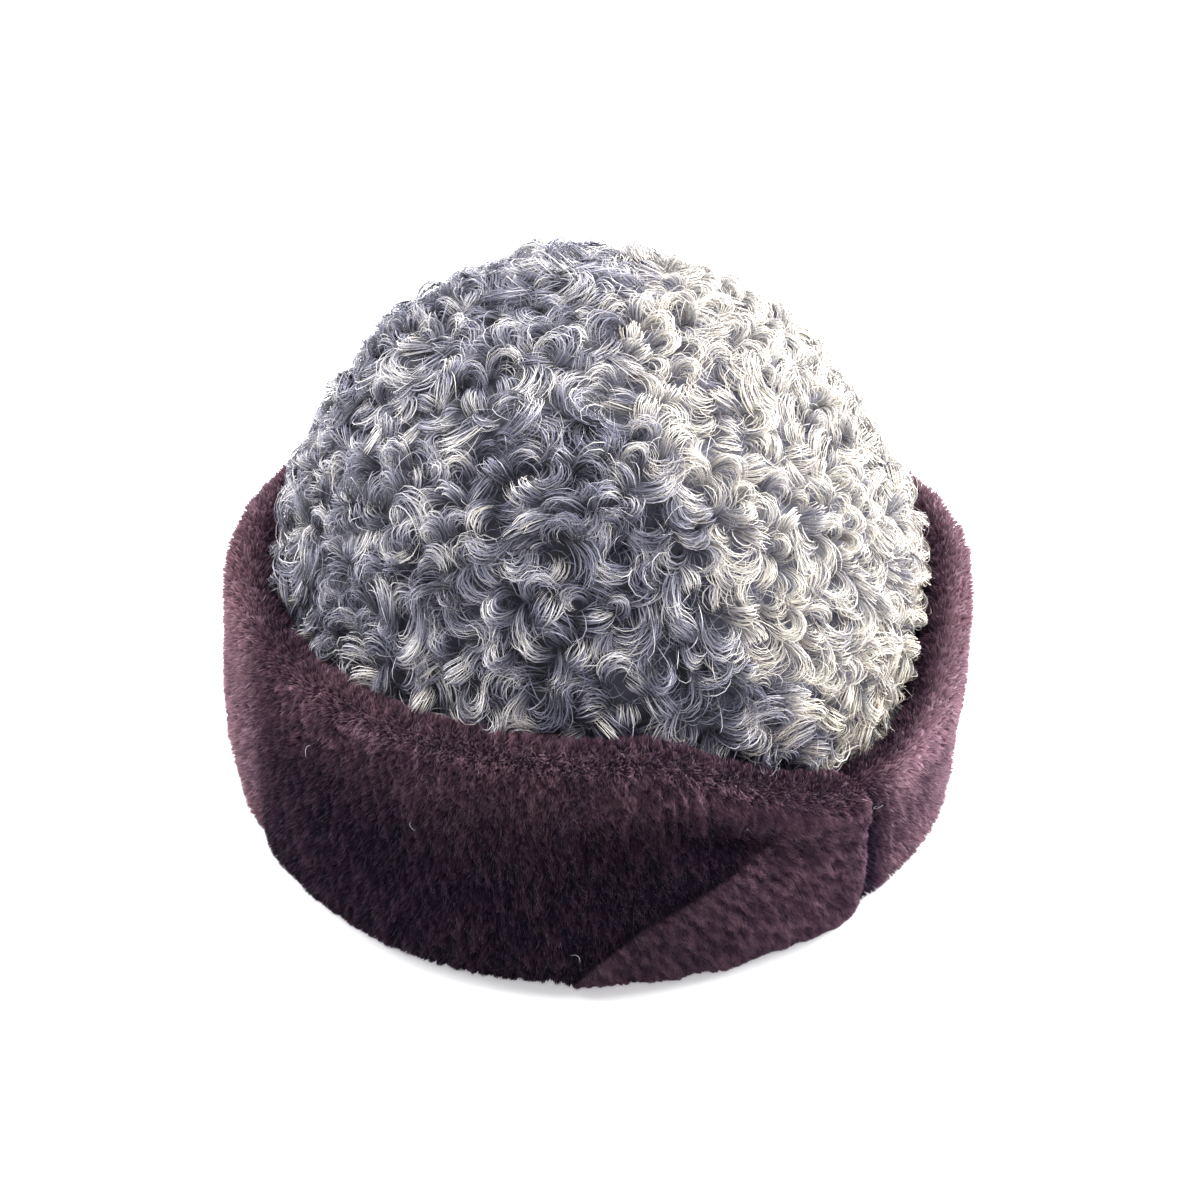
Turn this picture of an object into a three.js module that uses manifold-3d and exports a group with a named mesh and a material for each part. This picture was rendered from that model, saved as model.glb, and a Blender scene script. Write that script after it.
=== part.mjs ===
// Round fur hat: a dome crown of curly lamb pelt with a tall turned-up cuff of sheared fur.
// Millimetres, +Z up. The hat stands on the flat foot of its cuff at Z = 0, with its front towards -Y.
// Angles are in degrees round the crown's axis: 0 is +X, -90 is the front and 90 the back.

import * as THREE from 'three';
import { ParametricGeometry } from 'three/addons/geometries/ParametricGeometry.js';
import { mergeVertices } from 'three/addons/utils/BufferGeometryUtils.js';
import Module from 'manifold-3d';

// Driving dimensions of the crown
const CROWN_WIDTH = 192;           // outside of the pelt's leather side, left to right
const CROWN_DEPTH = 196;           // the same, front to back
const CROWN_TOP = 162;             // height of the leather's top above the table
const CROWN_BELLY = 80;            // height where the straight wall ends and the dome starts to close
const CROWN_LEAN_SIDE = -5;        // how far the top stands off the axis, to the side
const CROWN_LEAN_BACK = 5;         // how far the top stands off the axis, towards the back
const SKIN_WALL = 1.8;             // thickness of the leather
const HEM_LIFT = 1;                // height of the leather's lower edge above the table

// Driving dimensions of the fleece
const MAT_WALL = 3;                // thickness of the dense mat that the locks grow from
const CURL_PILE = 6;               // how far a lock's back stands above the mat
const CURL_LENGTH = 26;            // length of a lock along its curve
const CURL_WIDTH = 14;             // width of a lock at its thickest
const CURL_COUNT = 172;            // locks from the top down to the hem, before the cuff's share is left out

// Driving dimensions of the cuff
const CUFF_HEIGHT = 91;            // height of the rim at the front
const CUFF_THICKNESS = 26;         // thickness of the doubled fur band at its thickest
const RIM_ROUND = 9;               // height of the rounded rim
const FOOT_ROUND = 10;             // height of the rounded outer lower edge
const FOOT_INSET = 8;              // how far the flat foot ends short of the outside
const SLIT_ANGLE = -46;            // where the band's two ends meet, at the front right
const SLIT_PROUD = 4.2;            // how far the front end stands out past the back one
const SLIT_SWELL = 18;             // degrees before the slit where the front end starts to stand out
const SLIT_FULL = 4;               // degrees before the slit where it stands out fully
const SLIT_EDGE = 3;               // degrees before the slit where it starts to round off again
const SLIT_EDGE_PROUD = 2.1;       // how far it still stands out at its very end
const CREASE_ANGLE = -153.75;      // where the front panel meets the back one, at the left

// Clearances
const SEAM_GAP = 0.3;              // between pieces whose facets match
const SEAT_GAP = 0.45;             // between the cuff and the leather, whose facets don't

// Smoothness of the faceted surfaces
const COLUMNS = 40;                // facets round the hat
const ARCH_ROWS = 7;               // rows of facets from the belly to the top
const CURL_STAGES = 4;             // stages along a lock
const CUFF_LEVELS = 8;             // rows of facets up the cuff's outside, between its rounded edges
const ROUND_STEPS = 6;             // steps of the rounded rim
const SEAM_STEPS = 4;              // steps along the corner seam from row to row
const SLIT_SECTIONS = [6, 3, 1.2]; // degrees before the slit with a section of their own
const CREASE_SECTION = 3;          // degrees beside the crease with a section of their own
const CLOSEST_SECTIONS = 0.4;      // sections nearer together than this many degrees are one
const WELD = 1e-3;                 // corners nearer together than this are one

// Heights inside the cuff, as shares of CUFF_HEIGHT
const SEAT_SHARE = 0.2;            // up to here the cuff lies against the leather
const ROOM_SHARE = 0.38;           // from here on it leaves room for the fleece
const FLEECE_HEM_SHARE = 0.42;     // lower edge of the fleece, hidden inside the cuff

// The cuff round the hat, in degrees past the slit. rim is a share of CUFF_HEIGHT. foot and lip are the
// outside at the bottom and at the rim, and room is the free space round the leather inside the rim, as
// shares of CUFF_THICKNESS.
const CUFF_ROWS = [
  { past: -134, rim: 0.945, foot: 0.92, lip: 1.00, room: 0.32 },
  { past: -104, rim: 0.965, foot: 0.95, lip: 0.95, room: 0.24 },
  { past: -74, rim: 0.990, foot: 0.99, lip: 0.82, room: 0.13 },
  { past: -44, rim: 1.000, foot: 1.00, lip: 0.76, room: 0.10 },
  { past: -34, rim: 0.985, foot: 1.00, lip: 0.77, room: 0.10 },
  { past: -24, rim: 0.870, foot: 1.00, lip: 0.80, room: 0.11 },
  { past: -14, rim: 0.745, foot: 0.99, lip: 0.85, room: 0.13 },
  { past: -4, rim: 0.650, foot: 0.97, lip: 0.90, room: 0.16 },
  { past: 4, rim: 0.605, foot: 0.95, lip: 0.93, room: 0.20 },
  { past: 16, rim: 0.595, foot: 0.93, lip: 0.96, room: 0.25 },
  { past: 26, rim: 0.635, foot: 0.92, lip: 0.99, room: 0.30 },
  { past: 36, rim: 0.790, foot: 0.92, lip: 1.01, room: 0.34 },
  { past: 46, rim: 0.900, foot: 0.92, lip: 1.00, room: 0.35 },
  { past: 61, rim: 0.935, foot: 0.92, lip: 0.98, room: 0.33 },
  { past: 96, rim: 0.880, foot: 0.91, lip: 0.85, room: 0.20 },
  { past: 136, rim: 0.850, foot: 0.90, lip: 0.75, room: 0.12 },
  { past: 176, rim: 0.870, foot: 0.91, lip: 0.84, room: 0.20 },
  { past: 211, rim: 0.930, foot: 0.92, lip: 0.97, room: 0.30 },
];

// The section of a lock, counterclockwise as the lock comes towards the viewer, as shares of its half width
// and of its height, and how deep its foot lies in the mat's wall.
const LOCK_SECTION = [
  { across: 0.50, up: 1.00 },
  { across: -0.50, up: 1.00 },
  { across: -1.00, up: 0.00 },
  { across: 1.00, up: 0.00 },
];
const LOCK_SINK = 0.45;

// How much the locks differ, as shares of their length, of their bend and of CURL_PILE.
const LOCK_SPREAD = {
  length: { least: 0.85, most: 1.15 },
  bend: { least: 0.85, most: 1.40 },
  pile: { least: 0.75, most: 1.00 },
};

// A lock swells as a sine from its root to its tip. The ends are the sine's shares of half a turn there.
const LOCK_SWELL = { root: 0.12, tip: 0.94, power: 0.6 };

// A lock is left out where its root lies further below the rim than this share of CURL_WIDTH.
const LOCK_BELOW_RIM = 0.25;

// Rolls and dents of the cuff's outside. past and wide are in degrees, up and tall are shares of the rim's
// height there, and depth is a share of CUFF_THICKNESS, outwards where it is positive.
const RELIEF_ROWS = [
  { past: -66, up: 0.80, depth: 0.055, wide: 38, tall: 0.12 },
  { past: -26, up: 0.84, depth: 0.060, wide: 18, tall: 0.10 },
  { past: -38, up: 0.66, depth: -0.045, wide: 13, tall: 0.07 },
  { past: -22, up: 0.68, depth: -0.130, wide: 10, tall: 0.09 },
  { past: -66, up: 0.42, depth: -0.050, wide: 18, tall: 0.16 },
  { past: -18, up: 0.36, depth: 0.070, wide: 14, tall: 0.20 },
  { past: CREASE_ANGLE - SLIT_ANGLE, up: 0.50, depth: -0.090, wide: 4, tall: 0.60 },
  { past: 8, up: 0.50, depth: -0.060, wide: 8, tall: 0.50 },
  { past: 34, up: 0.30, depth: -0.060, wide: 12, tall: 0.14 },
  { past: 50, up: 0.78, depth: 0.050, wide: 16, tall: 0.20 },
];

// The seam over the corner panel, from below the foot to beyond the slit, in degrees past the slit. up is a
// share of CUFF_HEIGHT.
const SEAM_ROWS = [
  { past: -53, up: -0.10 },
  { past: -47.5, up: 0.08 },
  { past: -39, up: 0.27 },
  { past: -31, up: 0.39 },
  { past: -23, up: 0.50 },
  { past: -14, up: 0.56 },
  { past: -4, up: 0.535 },
  { past: 6, up: 0.50 },
];

// Colours, roughness and metalness
const FINISHES = {
  leather: { color: 0x8d8276, roughness: 0.85, metalness: 0 },
  fleece: { color: 0x8f9199, roughness: 0.8, metalness: 0 },
  frontFur: { color: 0x3a2228, roughness: 0.92, metalness: 0 },
  cornerFur: { color: 0x4c2c30, roughness: 0.92, metalness: 0 },
  backFur: { color: 0x472b33, roughness: 0.92, metalness: 0 },
};

const wasm = await Module();
wasm.setup();

const { degToRad, euclideanModulo, lerp, radToDeg, smoothstep } = THREE.MathUtils;
const FULL_TURN = 360;
const COLUMN_STEP = FULL_TURN / COLUMNS;

// The geometry with its shared vertices merged and its collapsed facets dropped.
function weld(geometry) {
  geometry.deleteAttribute('normal');
  geometry.deleteAttribute('uv');
  const merged = mergeVertices(geometry, WELD);
  const corners = merged.index.array;
  const kept = [];
  for (let i = 0; i < corners.length; i += 3) {
    const [a, b, c] = [corners[i], corners[i + 1], corners[i + 2]];
    if (a !== b && b !== c && c !== a) {
      kept.push(a, b, c);
    }
  }
  merged.setIndex(kept);
  return merged;
}

// A geometry as a solid, ready to be joined or cut.
function solidOf(geometry) {
  const welded = weld(geometry);
  const vertProperties = new Float32Array(welded.attributes.position.array);
  const triVerts = new Uint32Array(welded.index.array);
  return new wasm.Manifold(new wasm.Mesh({ numProp: 3, vertProperties, triVerts }));
}

// A solid as a geometry.
function geometryOf(solid) {
  const mesh = solid.getMesh();
  const geometry = new THREE.BufferGeometry();
  geometry.setAttribute('position', new THREE.BufferAttribute(mesh.vertProperties, 3));
  geometry.setIndex(new THREE.BufferAttribute(mesh.triVerts, 1));
  return geometry;
}

// The separate bodies of a solid, the largest first.
function bodiesOf(solid) {
  return solid.decompose().sort((a, b) => b.volume() - a.volume());
}

// A steady random share from 0 to 1 for a whole number and a channel.
function chance(index, channel) {
  const value = Math.sin(index * 12.9898 + channel * 78.233) * 43758.5453;
  return value - Math.floor(value);
}

// A random size of a lock for its number and a channel.
function vary(spread, index, channel) {
  return lerp(spread.least, spread.most, chance(index, channel));
}

// A column of CUFF_ROWS at any angle, eased from row to row.
function readCuff(column, angle) {
  const first = CUFF_ROWS[0];
  const past = first.past + euclideanModulo(angle - SLIT_ANGLE - first.past, FULL_TURN);
  const next = CUFF_ROWS.findIndex((row) => row.past > past);
  const below = CUFF_ROWS.at(next < 0 ? -1 : next - 1);
  const above = next < 0 ? first : CUFF_ROWS[next];
  const span = euclideanModulo(above.past - below.past, FULL_TURN);
  return lerp(below[column], above[column], smoothstep((past - below.past) / span, 0, 1));
}

// Radius of the crown's straight wall in a direction, set out from the leather by outset.
function wallReach(angle, outset) {
  const x = Math.cos(degToRad(angle)) / (CROWN_WIDTH / 2 + outset);
  const y = Math.sin(degToRad(angle)) / (CROWN_DEPTH / 2 + outset);
  return 1 / Math.hypot(x, y);
}

// A point of the dome. turn is 0 at the belly and 90 at the top: each side is a quarter ellipse whose
// middle drifts with the leaning top.
function domePoint(angle, turn, outset) {
  const lift = Math.sin(degToRad(turn));
  const reach = turn === 90 ? 0 : wallReach(angle, outset) * Math.cos(degToRad(turn));
  return new THREE.Vector3(
    reach * Math.cos(degToRad(angle)) + CROWN_LEAN_SIDE * lift,
    reach * Math.sin(degToRad(angle)) + CROWN_LEAN_BACK * lift,
    lerp(CROWN_BELLY, CROWN_TOP + outset, lift),
  );
}

// A point of the straight wall below the belly.
function wallPoint(angle, height, outset) {
  const reach = wallReach(angle, outset);
  return new THREE.Vector3(reach * Math.cos(degToRad(angle)), reach * Math.sin(degToRad(angle)), height);
}

// A hollow dome with a straight wall below it. Its skin runs from the top down the inside to the lower
// edge and up the outside to the top again.
function domeShell(innerOutset, outerOutset, edge) {
  const rows = ARCH_ROWS + 1;
  const skin = (u, v, target) => {
    const row = Math.round(v * (2 * rows + 1));
    const inside = row <= rows;
    const level = inside ? rows - row : row - rows - 1;
    const outset = inside ? innerOutset : outerOutset;
    const angle = Math.round(u * COLUMNS) % COLUMNS * COLUMN_STEP;
    const turn = (level - 1) / ARCH_ROWS * 90;
    target.copy(level === 0 ? wallPoint(angle, edge, outset) : domePoint(angle, turn, outset));
  };
  return new ParametricGeometry(skin, COLUMNS, 2 * rows + 1);
}

// A point over the fleece for a direction from the crown's middle: on the dome where the direction
// points up, and on the straight wall where it points down.
function overCrown(direction, outset) {
  const angle = radToDeg(Math.atan2(direction.y, direction.x));
  if (direction.z >= 0) {
    return domePoint(angle, radToDeg(Math.asin(direction.z)), outset);
  }
  const slope = direction.z / Math.hypot(direction.x, direction.y);
  return wallPoint(angle, CROWN_BELLY + slope * (CROWN_TOP - CROWN_BELLY), outset);
}

// One lock: a ridge that curls round like a comma and tapers at both ends, never tighter than its own
// width allows. Its foot runs along inside the mat's wall, so that the two are one body.
function lock(root, index) {
  const heading = chance(index, 1) * 2 * Math.PI;
  const side = chance(index, 2) < 0.5 ? -1 : 1;
  const length = CURL_LENGTH * vary(LOCK_SPREAD.length, index, 3);
  const curl = length / CURL_WIDTH * vary(LOCK_SPREAD.bend, index, 4);
  const pile = CURL_PILE * vary(LOCK_SPREAD.pile, index, 5);
  const sink = LOCK_SINK * MAT_WALL;
  const east = new THREE.Vector3(-root.y, root.x, 0).normalize();
  const north = new THREE.Vector3().crossVectors(root, east);
  const scale = 2 / (CROWN_WIDTH + 2 * MAT_WALL);
  const middle = new THREE.Vector2(Math.sin(curl / 2), side * (1 - Math.cos(curl / 2)));
  const skin = (u, v, target) => {
    const bend = curl * v;
    const along = new THREE.Vector2(Math.sin(bend), side * (1 - Math.cos(bend)));
    const across = new THREE.Vector2(-side * Math.sin(bend), Math.cos(bend));
    const wave = Math.sin(Math.PI * lerp(LOCK_SWELL.root, LOCK_SWELL.tip, v));
    const swell = v === 0 || v === 1 ? 0 : wave ** LOCK_SWELL.power;
    const corner = LOCK_SECTION[Math.round(u * LOCK_SECTION.length) % LOCK_SECTION.length];
    const place = along.sub(middle).multiplyScalar(length / curl);
    place.addScaledVector(across, swell * corner.across * CURL_WIDTH / 2);
    place.rotateAround(new THREE.Vector2(), heading);
    const height = swell * corner.up * (pile + sink) - sink;
    const direction = root.clone();
    direction.addScaledVector(east, place.x * scale).addScaledVector(north, place.y * scale).normalize();
    target.copy(overCrown(direction, SEAM_GAP + MAT_WALL + height));
  };
  return new ParametricGeometry(skin, LOCK_SECTION.length, CURL_STAGES);
}

// Where the locks grow: directions on an even spiral from the top down to the fleece's hem, without those
// that the cuff covers.
function lockRoots() {
  const hem = (FLEECE_HEM_SHARE * CUFF_HEIGHT - CROWN_BELLY) / (CROWN_TOP - CROWN_BELLY);
  const golden = Math.PI * (3 - Math.sqrt(5));
  const roots = [];
  for (let i = 0; i < CURL_COUNT; i += 1) {
    const z = lerp(1, hem, (i + 0.5) / CURL_COUNT);
    const flat = Math.sqrt(Math.max(0, 1 - z * z));
    const root = new THREE.Vector3(Math.cos(i * golden) * flat, Math.sin(i * golden) * flat, z);
    const rim = CUFF_HEIGHT * readCuff('rim', radToDeg(Math.atan2(root.y, root.x)));
    if (overCrown(root, 0).z > rim - LOCK_BELOW_RIM * CURL_WIDTH) {
      roots.push(root);
    }
  }
  return roots;
}

// How far the outside of the cuff stands out or in at a share of its height.
function relief(angle, up) {
  let depth = 0;
  for (const row of RELIEF_ROWS) {
    const past = euclideanModulo(angle - SLIT_ANGLE - row.past + FULL_TURN / 2, FULL_TURN) - FULL_TURN / 2;
    depth += row.depth * Math.exp(-((past / row.wide) ** 2) - ((up - row.up) / row.tall) ** 2);
  }
  return depth * CUFF_THICKNESS;
}

// The cuff's section in the plane at an angle, as points of radius and height, counterclockwise from the
// inner lower edge. proud moves the outside outwards, and grow makes the section larger all round.
function cuffSection(angle, proud = 0, grow = 0) {
  const wall = wallReach(angle, 0);
  const rim = CUFF_HEIGHT * readCuff('rim', angle);
  const shoulder = rim - RIM_ROUND;
  const inside = wall + CUFF_THICKNESS * readCuff('room', angle) - grow;
  const outside = (height) => {
    const up = height / rim;
    const slope = lerp(readCuff('foot', angle), readCuff('lip', angle), up);
    return wall + CUFF_THICKNESS * slope + relief(angle, up) + proud + grow;
  };
  const points = [[wall + SEAT_GAP - grow, 0]];
  for (const turn of [0, 45]) {
    const height = FOOT_ROUND * (1 - Math.cos(degToRad(turn)));
    const inset = FOOT_INSET * (1 - Math.sin(degToRad(turn)));
    points.push([outside(FOOT_ROUND) - inset, height]);
  }
  for (let level = 0; level < CUFF_LEVELS; level += 1) {
    const height = lerp(FOOT_ROUND, shoulder, level / CUFF_LEVELS);
    points.push([outside(height), height]);
  }
  const middle = (outside(shoulder) + inside) / 2;
  const half = (outside(shoulder) - inside) / 2;
  for (let step = 0; step <= ROUND_STEPS; step += 1) {
    const turn = Math.PI * step / ROUND_STEPS;
    points.push([middle + half * Math.cos(turn), shoulder + (RIM_ROUND + grow) * Math.sin(turn)]);
  }
  points.push([inside, ROOM_SHARE * CUFF_HEIGHT]);
  points.push([wall + SEAT_GAP - grow, SEAT_SHARE * CUFF_HEIGHT]);
  return points;
}

// A body through a row of equal loops, each counterclockwise when the row comes towards the viewer. caps
// holds the two end faces' corners, or the row is closed where there are none. The second half of each
// loop is split along the other diagonal, so that both faces of a thin wall turn alike.
function loft(loops, caps) {
  const size = loops[0].length;
  const positions = loops.flat().flatMap((point) => point.toArray());
  const corners = [];
  const last = caps ? loops.length - 1 : loops.length;
  for (let j = 0; j < last; j += 1) {
    const [near, far] = [j * size, (j + 1) % loops.length * size];
    for (let k = 0; k < size; k += 1) {
      const next = (k + 1) % size;
      if (k < size / 2) {
        corners.push(near + k, far + k, near + next, far + k, far + next, near + next);
      } else {
        corners.push(near + k, far + k, far + next, near + k, far + next, near + next);
      }
    }
  }
  if (caps) {
    const end = (loops.length - 1) * size;
    caps.first.forEach(([a, b, c]) => corners.push(a, b, c));
    caps.last.forEach(([a, b, c]) => corners.push(end + a, end + c, end + b));
  }
  const geometry = new THREE.BufferGeometry();
  geometry.setAttribute('position', new THREE.Float32BufferAttribute(positions, 3));
  geometry.setIndex(corners);
  return geometry;
}

// A section of radius and height stood up at its angle.
function standUp(section, angle) {
  return section.map(([radius, height]) => {
    const flat = new THREE.Vector2(radius, 0).rotateAround(new THREE.Vector2(), degToRad(angle));
    return new THREE.Vector3(flat.x, flat.y, height);
  });
}

// The corners of a section's face.
function faceOf(section) {
  return THREE.ShapeUtils.triangulateShape(section.map(([x, y]) => new THREE.Vector2(x, y)), []);
}

// The front end of the band swells out towards the slit and rounds off at its very end.
function slitProud(angle) {
  const before = SLIT_ANGLE - angle;
  if (before < 0) {
    return 0;
  }
  const swell = 1 - smoothstep(before, SLIT_FULL, SLIT_SWELL);
  return swell * lerp(SLIT_EDGE_PROUD, SLIT_PROUD, smoothstep(before, 0, SLIT_EDGE));
}

// The angles at which a panel has its sections: both ends, the hat's columns between them, and a few more
// where the surface turns quickly.
function panelAngles(start, end, extra) {
  const angles = [start, end, ...extra];
  const first = Math.ceil(start / COLUMN_STEP);
  for (let column = first; column * COLUMN_STEP < end; column += 1) {
    angles.push(column * COLUMN_STEP);
  }
  angles.sort((a, b) => a - b);
  return angles.filter((angle, i) => i === 0 || angle - angles[i - 1] > CLOSEST_SECTIONS);
}

// A panel of the cuff between two angles, with a flat face at each end.
function cuffPanel(start, end, extra, proudAt) {
  const angles = panelAngles(start, end, extra);
  const sections = angles.map((angle) => cuffSection(angle, proudAt(angle)));
  const loops = sections.map((section, i) => standUp(section, angles[i]));
  const caps = { first: faceOf(sections[0]), last: faceOf(sections[sections.length - 1]) };
  return solidOf(loft(loops, caps));
}

// The cuff's whole ring, a seam's width larger than the cuff, to trim the fleece with.
function cuffClearance() {
  const angles = panelAngles(CREASE_ANGLE, CREASE_ANGLE + FULL_TURN, bandSections()).slice(0, -1);
  return solidOf(loft(angles.map((angle) => standUp(cuffSection(angle, 0, SEAM_GAP), angle)), null));
}

// The angles with a section of their own, near the slit and beside the crease.
function bandSections() {
  return [CREASE_ANGLE + CREASE_SECTION, ...SLIT_SECTIONS.map((before) => SLIT_ANGLE - before)];
}

// A thin upright wall along the corner panel's seam, as wide as the seam, to part the two panels with.
function seamWall() {
  const loops = [];
  for (let i = 0; i <= (SEAM_ROWS.length - 1) * SEAM_STEPS; i += 1) {
    const row = Math.min(Math.floor(i / SEAM_STEPS), SEAM_ROWS.length - 2);
    const [from, to] = [SEAM_ROWS[row], SEAM_ROWS[row + 1]];
    const angle = SLIT_ANGLE + lerp(from.past, to.past, i / SEAM_STEPS - row);
    const height = CUFF_HEIGHT * lerp(from.up, to.up, i / SEAM_STEPS - row);
    const rise = CUFF_HEIGHT * (to.up - from.up);
    const run = degToRad(to.past - from.past) * CROWN_WIDTH / 2;
    const half = SEAM_GAP / 2 * Math.hypot(run, rise) / run;
    const inner = wallReach(angle, -CUFF_THICKNESS);
    const outer = wallReach(angle, 2 * CUFF_THICKNESS);
    const [low, high] = [height - half, height + half];
    loops.push(standUp([[inner, low], [outer, low], [outer, high], [inner, high]], angle));
  }
  const quad = [[0, 1, 2], [0, 2, 3]];
  return solidOf(loft(loops, { first: quad, last: quad }));
}

function makeCrownSkin() {
  return solidOf(domeShell(-SKIN_WALL, 0, HEM_LIFT));
}

function makeCrownCurls() {
  const mat = solidOf(domeShell(SEAM_GAP, SEAM_GAP + MAT_WALL, FLEECE_HEM_SHARE * CUFF_HEIGHT));
  const locks = lockRoots().map((root, index) => solidOf(lock(root, index)));
  const fleece = wasm.Manifold.union([mat, ...locks]).subtract(cuffClearance());
  return bodiesOf(fleece)[0];
}

function makeCuff() {
  const halfSeam = radToDeg(SEAM_GAP / CROWN_WIDTH);
  const strip = cuffPanel(CREASE_ANGLE + halfSeam, SLIT_ANGLE - halfSeam, bandSections(), slitProud);
  const [front, corner] = bodiesOf(strip.subtract(seamWall()));
  const backEnd = CREASE_ANGLE + FULL_TURN - halfSeam;
  const back = cuffPanel(SLIT_ANGLE + halfSeam, backEnd, [backEnd - CREASE_SECTION], () => 0);
  return { front, corner, back };
}

// A named piece in its own finish.
function piece(name, solid, finish) {
  const mesh = new THREE.Mesh(weld(geometryOf(solid)), new THREE.MeshStandardMaterial(finish));
  mesh.name = name;
  return mesh;
}

const cuff = makeCuff();
const hat = new THREE.Group();
hat.add(piece('crown_skin', makeCrownSkin(), FINISHES.leather));
hat.add(piece('crown_curls', makeCrownCurls(), FINISHES.fleece));
hat.add(piece('cuff_front', cuff.front, FINISHES.frontFur));
hat.add(piece('cuff_corner', cuff.corner, FINISHES.cornerFur));
hat.add(piece('cuff_back', cuff.back, FINISHES.backFur));

// The origin lies on the table under the middle of the hat's outline.
const middle = new THREE.Box3().setFromObject(hat).getCenter(new THREE.Vector3());
hat.position.set(-middle.x, -middle.y, 0);

export default hat;
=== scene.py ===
"""Looks of a round fur hat: a dome crown of curly lamb pelt in a tall turned-up cuff of sheared fur.

Lengths are millimetres until a mesh is made, which is in metres. Angles are degrees round the crown's
axis: 0 is +X, -90 is the front and 90 the back. Points are arrays whose last axis is x, y, z.
"""

import math

import bpy
import numpy as np
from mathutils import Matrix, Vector


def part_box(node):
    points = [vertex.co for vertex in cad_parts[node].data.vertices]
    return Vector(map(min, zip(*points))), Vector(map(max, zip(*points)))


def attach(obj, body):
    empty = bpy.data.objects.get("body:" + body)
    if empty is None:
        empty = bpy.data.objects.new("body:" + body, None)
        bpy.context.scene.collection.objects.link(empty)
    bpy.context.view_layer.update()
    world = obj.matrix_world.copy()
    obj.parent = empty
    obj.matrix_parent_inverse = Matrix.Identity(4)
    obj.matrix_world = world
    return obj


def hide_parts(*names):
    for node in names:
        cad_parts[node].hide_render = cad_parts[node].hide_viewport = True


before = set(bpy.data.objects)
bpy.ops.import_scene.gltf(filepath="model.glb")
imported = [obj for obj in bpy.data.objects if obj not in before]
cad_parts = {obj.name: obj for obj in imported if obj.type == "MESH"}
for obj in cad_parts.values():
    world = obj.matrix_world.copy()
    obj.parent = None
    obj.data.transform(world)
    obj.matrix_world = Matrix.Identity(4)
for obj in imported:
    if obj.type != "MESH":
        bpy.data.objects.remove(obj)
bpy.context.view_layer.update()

MM = 0.001
RNG = np.random.default_rng(41)

# The crown. Its axis, half sizes, top and hem are the frame's.
skin_low, skin_high = (np.array(corner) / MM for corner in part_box("crown_skin"))
AXIS = (skin_low[:2] + skin_high[:2]) / 2
CROWN_HALF = (skin_high[:2] - skin_low[:2]) / 2
CROWN_TOP = skin_high[2]
HEM = skin_low[2]
CROWN_BELLY = 80.0
CROWN_LEAN = np.array([-5.0, 8.0])
SHOULDER_SLIM = 0.05
TOP_PEAK = 2.5
SKIN_WALL = 1.8
SKIN_GRID = (48, 120)

# The fleece's mat of roots. HEM_RISE is its hem's height on the unit ball that stands for the crown, no
# hair starts more than HIDDEN_DEPTH below the cuff's rim, and colours are read at COLOUR_OUTSET.
MAT_OUTSET = 3.0
MAT_WALL = 2.4
MAT_GRID = (44, 130)
FLEECE_HEM = 38.0
HEM_RISE = (FLEECE_HEM - CROWN_BELLY) / (CROWN_TOP - CROWN_BELLY)
HIDDEN_DEPTH = 12.0
COLOUR_OUTSET = 4.0

# The locks. Pipes are short wide ones that hardly bend, and the others curl. Each range is least and most,
# bends are in radians, and each lock is LOCK_TALL of LOCK_HEIGHT high. LOCK_ROLL is how many degrees the
# hairs at a lock's sides are turned over.
LOCK_COUNT = 1320
LOCK_HEIGHT = 9.4
LOCK_TALL = (0.42, 1.06)
LOCK_ROLL = 62.0
PIPE_SHARE = 0.34
PIPE_LENGTH = (8, 13)
PIPE_WIDTH = (7, 11)
PIPE_BEND = (0.2, 1.3)
CURL_LENGTH = (11, 23)
CURL_WIDTH = (4, 7)
CURL_BEND = (1.6, 4.4)
HAIRS_PER_LOCK = 41
HAIR_STEPS = 8
HAIR_WIDTH = 0.27
STRANDS = 6
UNRULY_SHARE = 0.13
WHITE_SHARE = 0.14

# The fuzz between the locks
FUZZ_COUNT = 8000
FUZZ_STEPS = 6
FUZZ_WIDTH = 0.20
FUZZ_LENGTH = (6, 13)
FUZZ_HEIGHT = (1.0, 4.2)
HIGH_FUZZ_SHARE = 0.10
HIGH_FUZZ_LIFT = 5.5

# The stray hairs and the loop of thread on the cuff
STRAY_COUNT = 4
STRAY_WIDTH = 0.22
STRAY_LENGTH = (3, 7)
LOOP_WIDE = 1.6
LOOP_TALL = 1.8

# The cuff. SLIT_GROWTH is the heights over which the proud end at the slit grows from its foot. PANEL_GAP,
# CORNER_WIDE and SLIT_SUNK_WIDE are in degrees.
CUFF_HEIGHT = 91.0
CUFF_THICKNESS = 26.0
RIM_ROUND = 9.0
FOOT_ROUND = 10.0
FOOT_INSET = 8.0
SEAT_GAP = 0.45
SEAT_TOP = 0.20 * CUFF_HEIGHT
ROOM_START = 0.38 * CUFF_HEIGHT
SLIT_ANGLE = -46.0
CREASE_ANGLE = -153.75
SLIT_PROUD = 3.6
SLIT_GROWTH = (2, 36)
SLIT_SUNK = 2.8
SLIT_SUNK_WIDE = 10
SEAM_ROUND = 2.4
SEAM_VALLEY = 2.9
SEAM_VALLEY_WIDE = 13
SEAM_LIP = 1.8
SEAM_LIP_WIDE = 10
PANEL_GAP = 0.1
CORNER_WIDE = 50.0
LOWEST_SKIN = 0.05
LOWEST_TIP = 0.1

# The cuff's pile: short hairs in tufts, on slow lumps. Its tone holds painted shade between the tufts
# and painted light on the lumps and where the relief stands out.
PILE_DEPTH = 2.6
HAIR_FOOT = 0.33
TUFT_WIDE = 1.9
TUFT_LONG = 4.6
TUFT_TONE_AND_SHADE = 0.15
RELIEF_SHADE = 0.035
LUMP_SIZE = 7.5
LUMP_HEIGHT = 0.75
LUMP_LIGHT = 0.06

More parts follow.
